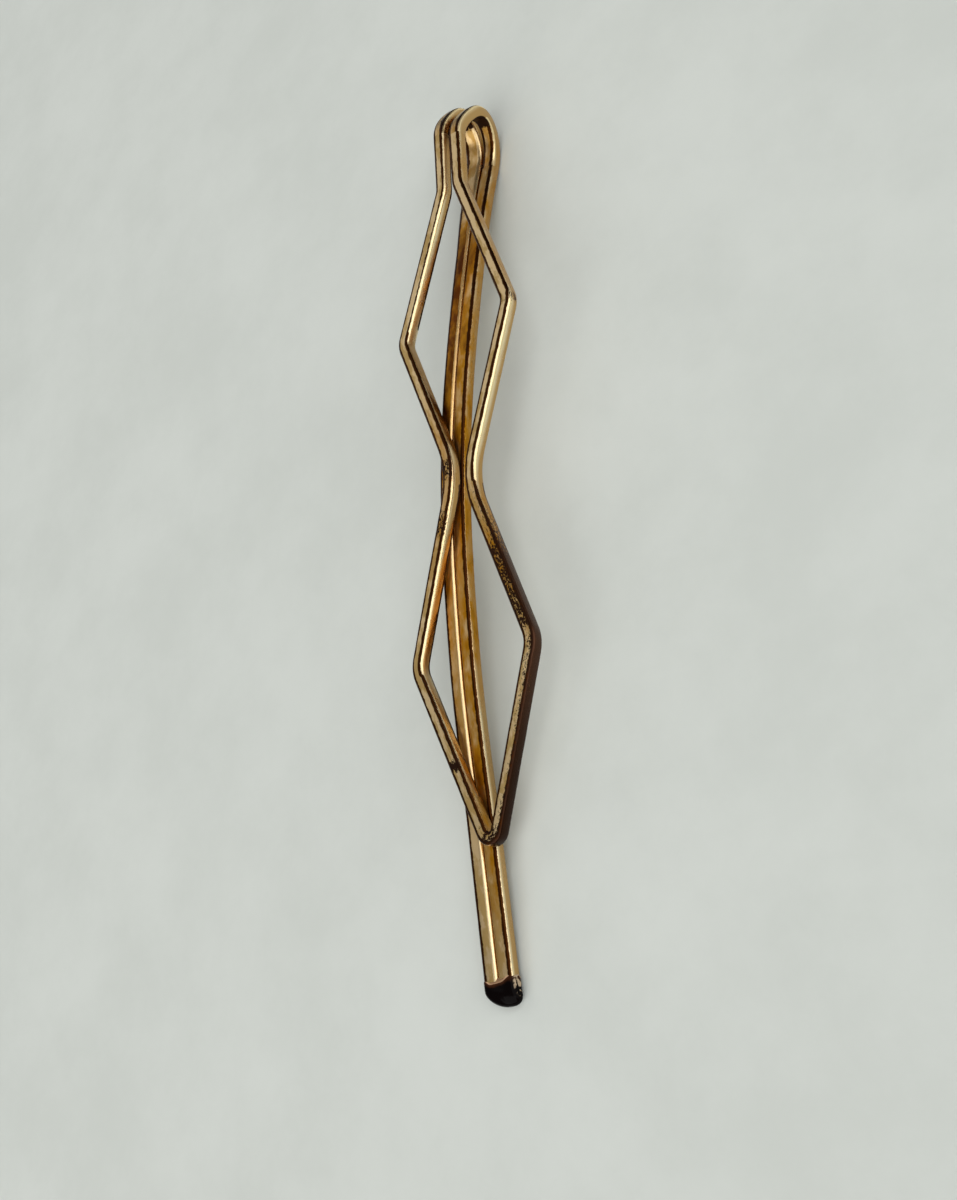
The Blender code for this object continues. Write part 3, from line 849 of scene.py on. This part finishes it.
for word, side in (("left", -1), ("right", 1)):
    root = loopPoint(side, frontTurn, side * grip["frontHalf"] - grip["loopFrontSway"])
    neck = root.y - place(0.0, kinkY, 0.0).y
    corners = [
        root,
        root - Vector((0.0, neck, neck * math.tan(grip["frontLean"]))),
        place(side * grip["rearHalf"], rearY, rearZ),
        place(side * grip["waistHalf"], waistY - side * grip["waistSkew"], waistZ),
        place(side * grip["diamondHalf"], cornerY, cornerZ),
        nosePoint(side * touch),
    ]
    path = roundedCorners(corners, grip["bends"])
    path[-1] = armEnd(side)
    growths = [bothWays(side, grip["neckGrowth"] * max(0.0, 1 - (root.y - point.y) / neck))
               for point in path]
    strand = bentWire("frontStrand" + word.capitalize(), path, [up] * len(path),
                      frontStrands[word], startWay=-frontWay, growths=growths)
    gold = goldFinish("strandGold" + word.capitalize(), **frontStrands[word]["finish"])
    finishPiece(strand, gold, "front_leg", ["front_zigzag_" + word])
print("front strands bent")

# The nose, folded flat on itself

noseFold = {
    "seed": 5.0,
    "steps": 60,
    "lines": ((-1, 9, 0.00012, 0.00012),),
    "lineStrengths": ((-1, 9, 1.0, 1.0),),
    "wornAndShade": (("right", -2.0, 3.6, 0.85, 0.85), ("outer", 1.8, 4.5, 0.59, 0.53, 0.1),
             ("outer", -2.0, 2.0, 0.42, 0.42, 0.4), ("outer", 4.2, 5.0, 0.5, 0.5),
             ("left", 2.6, 4.2, 0.5, 0.5)),
    "flankSheen": (("right", 4.0, 9.0, 0.45, 0.45),),
    "tarnishAndShade": (("right", 3.0, 9.0, 0.4, 0.4),),
    "finish": {"flakesPerMm": 6.0, "bareRoughness": 0.36},
}
path = [armEnd(1)]
for step in range(noseFold["steps"] + 1):
    path.append(nosePoint(touch + (math.radians(360) - 2 * touch) * step / noseFold["steps"]))
path.append(armEnd(-1))
nose = bentWire("noseFold", path, [up] * len(path), noseFold)
finishPiece(nose, goldFinish("noseGold", **noseFold["finish"]), "front_leg",
            ["front_nose"])
print("nose folded")

# The back leg: a straight tip, then an arch up to the loops

backLeg = {
    "steps": 60,
    "wireEndWall": 0.00095,  # how far the dip runs on beyond the wire ends
    "left": {
        "seed": 6.0,
        "cornerHighlight": ((-1, 12, 0.9, 0.75), (12, 60, 0.75, 0.75), (60, 80, 0.75, 0.9)),
        "flankSheen": (("right", -2.0, 40.0, 0.9, 0.6),),
        # the inner rows lie under the front strands and paint their shade and amber reflection
        "tarnishAndShade": (("inner", 12.0, 36.0, 0.15, 0.35), ("inner", 36.0, 60.0, 0.85, 0.90),
                    ("inner", 58.0, 80.0, 0.35, 0.15), ("right", 10.0, 80.0, 0.3, 0.2),
                    ("left", -2.0, 80.0, 0.3, 0.6)),
    },
    "right": {
        "seed": 7.0,
        "lines": ((-1, 80, 0.00008, 0.00008),),
        "lineStrengths": ((-1, 80, 1.0, 1.0),),
        "leftLine": 0.0,
        "cornerHighlight": ((-1, 40, 0.8, 0.6),),
        "flankSheen": (("right", -2.0, 30.0, 1.0, 0.8), ("right", 26.0, 80.0, 0.5, 0.5)),
        # the inner rows and the right flank rows under the front strands paint their shade and
        # amber reflection
        "tarnishAndShade": (("inner", 4.0, 20.0, 0.3, 0.45), ("inner", 18.0, 40.0, 0.4, 0.35),
                    ("inner", 38.0, 60.0, 0.5, 0.5), ("inner", 58.0, 80.0, 0.35, 0.25),
                    ("left", -2.0, 80.0, 0.3, 0.6), ("right", 22.0, 46.0, 0.45, 0.45),
                    ("right", 40.0, 80.0, 0.3, 0.3)),
    },
}
dip = {
    "coat": 0.00012,
    "length": 0.0021,
    "taper": 0.0011,
    "trim": -0.00001,
    "steps": 28,
    "around": 72,
    "endFullness": 0.85,  # under 1 makes its end blunter than round
    "squareness": (2.0, 1.3, 1.6),  # at its end, how much is added, and how soon
    "scallop": 0.00042,  # how much further the lacquer has crept up in places,
    "scallopWaves": (0.7, -0.4),  # in two and in four places round it,
    "scallopNoise": (1.4, 3.7, 0.5, 0.35),  # scale and place, then how strong and how low
    "lean": 0.00055,  # its end hangs over to the right
    "leanCurve": 1.3,
    "lipFrom": 0.72,  # share of its side from which it thins out, how much and how fast
    "lipThinning": 0.13,
    "lipCurve": 2.2,
    "lumps": 0.015,
    "lumpsPerMetre": 1500,
    "filmFrom": 0.62,  # share of its length from which it is a thin film
    "sharpFrom": math.radians(60),
    "black": (0.003, 0.002, 0.002, 1.0),
    "brown": (0.050, 0.016, 0.006, 1.0),
    "rim": (0.62, 0.38, 0.22, 1.0),
    # pale tan of the painted reflection along its right side
    "reflectionTan": (0.46, 0.35, 0.23, 1.0),
    "filmGrain": (1500.0, 1.0, 4.0, 0.55),
    "brownEdge": (0.8, 0.25, 0.85),  # how ragged, and the shares of film that it runs over
    "rimEdge": (0.15, 0.80, 0.88),
    "reflectionGrain": (1900.0, 1.0, 5.0, 0.6),
    "reflectionEdge": (0.47, 0.54),
    "reflectionPlace": (0.00124, 0.00134),  # from its middle to its right side
    "speckGrain": (9000.0, 1.0, 2.0, 0.5),
    "speckEdge": (0.60, 0.72),
    "roughness": 0.10,
    "speckRoughness": 0.25,
    "bumpGrain": (2600.0, 1.0, 3.0, 0.5),
    "bumpDepth": 0.00003,
    "bumpStrength": 0.5,
    "specular": 0.03,
}
beadHalfHeight = wireSection["side"] / 2 + dip["coat"]
taperY = tipY + dip["taper"]
legRise = (grip["legHeights"][0] - beadHalfHeight) / (noseY - taperY)
legDrift = (grip["tipSway"] - grip["legSways"][0]) / (noseY - taperY)
legSpread = (grip["legHalves"][0] - grip["tipHalf"]) / (noseY - taperY)
legStations, legCurves = {}, {}
for side in (-1, 1):
    root = loopPoint(side, backTurn, 0.0)
    places = [noseY, cornerY, waistY, rearY, root.y + middleY]
    heights = [*grip["legHeights"], root.z]
    sways = [-sway for sway in (*grip["legSways"], grip["loopBackSway"])]
    legStations[side] = places
    legCurves[side] = (smoothCurve(places, heights, legRise, -math.tan(grip["backLean"])),
                       smoothCurve(places, sways, legDrift, 0.0),
                       smoothCurve(places, grip["legHalves"], legSpread, 0.0))


def legPoint(side, y):
    x = -grip["legSways"][0] + legDrift * (y - noseY)
    z = grip["legHeights"][0] + legRise * (y - noseY)
    half = grip["legHalves"][0] + legSpread * (y - noseY)
    if y > noseY:
        heightAt, swayAt, halfAt = legCurves[side]
        x, z, half = swayAt(y), heightAt(y), halfAt(y)
    return place(x + side * half, y, z)


for word, side in (("left", -1), ("right", 1)):
    path = [legPoint(side, tipY + backLeg["wireEndWall"])]
    stations = legStations[side]
    for first, last in zip(stations, stations[1:]):
        for step in range(backLeg["steps"]):
            path.append(legPoint(side, first + (last - first) * step / backLeg["steps"]))
    path.append(legPoint(side, stations[-1]))
    # the two wires lie tightly together, so each is wider towards the other one, and the
    # left one is wider away from it where it runs into its loop
    growths = []
    for point in path:
        room = abs(point.x - legPoint(-side, point.y + middleY).x) - wireSection["side"]
        away = max(0.0, 1 - (path[-1].y - point.y) / grip["backGrowthEnds"])
        growths.append(bothWays(side, (room - wireSection["hairline"]) / 2,
                                grip["backGrowth"][side] * away))
    leg = bentWire("backLeg" + word.capitalize(), path, [-up] * len(path), backLeg[word],
                   endWay=backWay, growths=growths)
    finishPiece(leg, goldFinish("legGold" + word.capitalize()), "back_leg",
                ["back_leg_" + word])
print("back leg laid in")

# The dark dip on the wire ends: a drop of lacquer, thin and brown where it starts

legAlong = (legPoint(0, noseY) - legPoint(0, taperY)).normalized()
dipTip = legPoint(0, taperY) - legAlong * (dip["taper"] - dip["trim"])
dipUp = (up - legAlong * up.dot(legAlong)).normalized()
dipAcross = legAlong.cross(dipUp)
dipHalfWidth = grip["tipHalf"] + beadHalfHeight


def dipOutline(turn, half, height, roundness):
    # A rounded box as a superellipse
    power = 2.0 / roundness
    c, s = math.cos(turn), math.sin(turn)
    return (math.copysign(abs(c) ** power, c) * half,
            math.copysign(abs(s) ** power, s) * height)


skin = bmesh.new()
filmLayer = skin.verts.layers.float.new("filmShare")
placeLayer = skin.verts.layers.float_vector.new("wirePlace")
rows = []
for step in range(1, dip["steps"] + 1):
    share = step / dip["steps"]
    row = []
    for k in range(dip["around"]):
        turn = math.radians(360) * k / dip["around"]
        scale, level, strength, lower = dip["scallopNoise"]
        creep = noise.noise(Vector((math.cos(turn) * scale, math.sin(turn) * scale, level)))
        for waves, depth in zip((2, 4), dip["scallopWaves"]):
            creep += depth * math.cos(waves * turn)
        reach = dip["length"] + dip["scallop"] * (creep * strength - lower)
        if share < 0.5:
            # the rounded end
            bend = math.radians(90) * share / 0.5
            size = math.sin(bend) ** dip["endFullness"]
            there = dip["taper"] * (1 - math.cos(bend))
        else:
            rest = (share - 0.5) / 0.5
            lip = max(0.0, (rest - dip["lipFrom"]) / (1 - dip["lipFrom"]))
            size = 1 - dip["lipThinning"] * lip ** dip["lipCurve"]
            there = dip["taper"] + (reach - dip["taper"]) * rest
        least, added, soon = dip["squareness"]
        x, y = dipOutline(turn, dipHalfWidth * size, beadHalfHeight * size,
                          least + added * min(1.0, share * soon))
        spot = Vector((x, y, there)) * dip["lumpsPerMetre"]
        bulge = 1 - dip["lumps"] * (1 + noise.noise(spot))
        lean = dip["lean"] * max(0.0, 1 - there / dip["taper"]) ** dip["leanCurve"]
        vert = skin.verts.new(dipTip + legAlong * there + dipAcross * (x * bulge + lean)
                              + dipUp * y * bulge)
        vert[filmLayer] = max(0.0, (share - dip["filmFrom"]) / (1 - dip["filmFrom"]))
        vert[placeLayer] = (x, y, there)
        row.append(vert)
    rows.append(row)
tipDip = closedSkin("tipDip", skin, rows, dip["sharpFrom"])

material, tree, shader = startMaterial("darkDip")
there = readAttribute(tree, "wirePlace", vector=True)
film = readAttribute(tree, "filmShare")
cloud = addMath(tree, "SUBTRACT", addNoise(tree, there, dip["filmGrain"]), 0.5)


def filmEdge(ragged, low, high):
    level = addMath(tree, "ADD", film, addMath(tree, "MULTIPLY", cloud, ragged))
    return addStep(tree, level, low, high)


lacquer = mixColours(tree, filmEdge(*dip["brownEdge"]), dip["black"], dip["brown"])
lacquer = mixColours(tree, filmEdge(*dip["rimEdge"]), lacquer, dip["rim"])
# a painted reflection: a pale strip along its right side
across = tree.nodes.new("ShaderNodeSeparateXYZ")
tree.links.new(there, across.inputs[0])
reflectionStrip = addMath(tree, "MULTIPLY", addStep(tree, across.outputs["X"], *dip["reflectionPlace"]),
                addStep(tree, addNoise(tree, there, dip["reflectionGrain"]), *dip["reflectionEdge"]))
tree.links.new(mixColours(tree, reflectionStrip, lacquer, dip["reflectionTan"]), shader.inputs["Base Color"])
specks = addStep(tree, addNoise(tree, there, dip["speckGrain"]), *dip["speckEdge"])
specks = addMath(tree, "MULTIPLY", specks, dip["speckRoughness"])
tree.links.new(addMath(tree, "ADD", dip["roughness"], specks), shader.inputs["Roughness"])
bump = tree.nodes.new("ShaderNodeBump")
bump.inputs["Distance"].default_value = dip["bumpDepth"]
bump.inputs["Strength"].default_value = dip["bumpStrength"]
tree.links.new(addNoise(tree, there, dip["bumpGrain"]), bump.inputs["Height"])
tree.links.new(bump.outputs["Normal"], shader.inputs["Normal"])
shader.inputs["Specular IOR Level"].default_value = dip["specular"]
finishPiece(tipDip, material, "back_leg", ["tip_bead"])
print("wire ends dipped")

# Studio: a pale floor, soft boxes and a dim room, dark where the gold mirrors it

studio = {
    "floorSize": 1.5,
    "floorDrop": 0.00001,  # keeps it clear of what lies on it
    "floorColour": (0.655, 0.685, 0.64, 1.0),
    "floorDark": (0.605, 0.635, 0.59, 1.0),
    "floorGrain": (60.0, 1.0, 6.0, 0.65),
    "floorEdge": (0.3, 0.7),
    "floorRoughness": 0.85,
    "roomLevel": 0.07,
    # direction to the lamp, distance, width, height, level (1 renders white)
    "lamps": {
        "frontBox": ((0.0, -0.75, 0.66), 1.8, 2.6, 1.9, 2.15),
        "leftBox": ((-0.60, 0.46, 0.655), 1.8, 1.75, 1.8, 0.56),
        "rightBox": ((0.78, 0.06, 0.62), 1.8, 2.0, 3.2, 1.45),
    },
}

floor = bpy.data.objects.new("floor", bpy.data.meshes.new("floor"))
floorMesh = bmesh.new()
bmesh.ops.create_grid(floorMesh, x_segments=2, y_segments=2, size=studio["floorSize"])
floorMesh.to_mesh(floor.data)
floorMesh.free()
floor.location = (0.0, 0.0, -studio["floorDrop"])
bpy.context.scene.collection.objects.link(floor)
material, tree, shader = startMaterial("paleFloor")
spot = tree.nodes.new("ShaderNodeTexCoord").outputs["Object"]
patches = addStep(tree, addNoise(tree, spot, studio["floorGrain"]), *studio["floorEdge"])
tree.links.new(mixColours(tree, patches, studio["floorColour"], studio["floorDark"]),
               shader.inputs["Base Color"])
shader.inputs["Roughness"].default_value = studio["floorRoughness"]
floor.data.materials.append(material)

world = bpy.data.worlds.new("room")
bpy.context.scene.world = world
world.use_nodes = True
room = world.node_tree.nodes["Background"]
room.inputs["Color"].default_value = (1.0, 1.0, 1.0, 1.0)
room.inputs["Strength"].default_value = studio["roomLevel"]

for name, (direction, distance, width, height, level) in studio["lamps"].items():
    lamp = bpy.data.lights.new(name, "AREA")
    lamp.shape = "RECTANGLE"
    lamp.size = width
    lamp.size_y = height
    lamp.energy = level * math.pi * width * height
    holder = bpy.data.objects.new(name, lamp)
    holder.location = Vector(direction).normalized() * distance
    holder.rotation_euler = (-Vector(direction)).to_track_quat("-Z", "Y").to_euler()
    bpy.context.scene.collection.objects.link(holder)

lens = {
    "length": 43.42,  # mm, for a frame as high as the next value
    "frameHeight": 36.0,
    "clipStart": 0.01,
    "place": (0.0614813, -0.0423755, 0.0788965),
    "right": (0.768827, -0.028557, -0.638818),
    "down": (-0.237366, -0.940372, -0.243635),
}
camera = bpy.data.objects.new("camera", bpy.data.cameras.new("camera"))
camera.data.lens = lens["length"]
camera.data.sensor_width = lens["frameHeight"]  # goes with the longer side of the frame
camera.data.clip_start = lens["clipStart"]
right = Vector(lens["right"])
above = -Vector(lens["down"])
back = right.cross(above)
turned = camera.matrix_world.to_3x3()
turned.col[0], turned.col[1], turned.col[2] = right, above, back
camera.matrix_world = turned.to_4x4()
camera.location = lens["place"]
bpy.context.scene.collection.objects.link(camera)
bpy.context.scene.camera = camera
bpy.context.scene.view_settings.view_transform = "Standard"
print("studio ready")
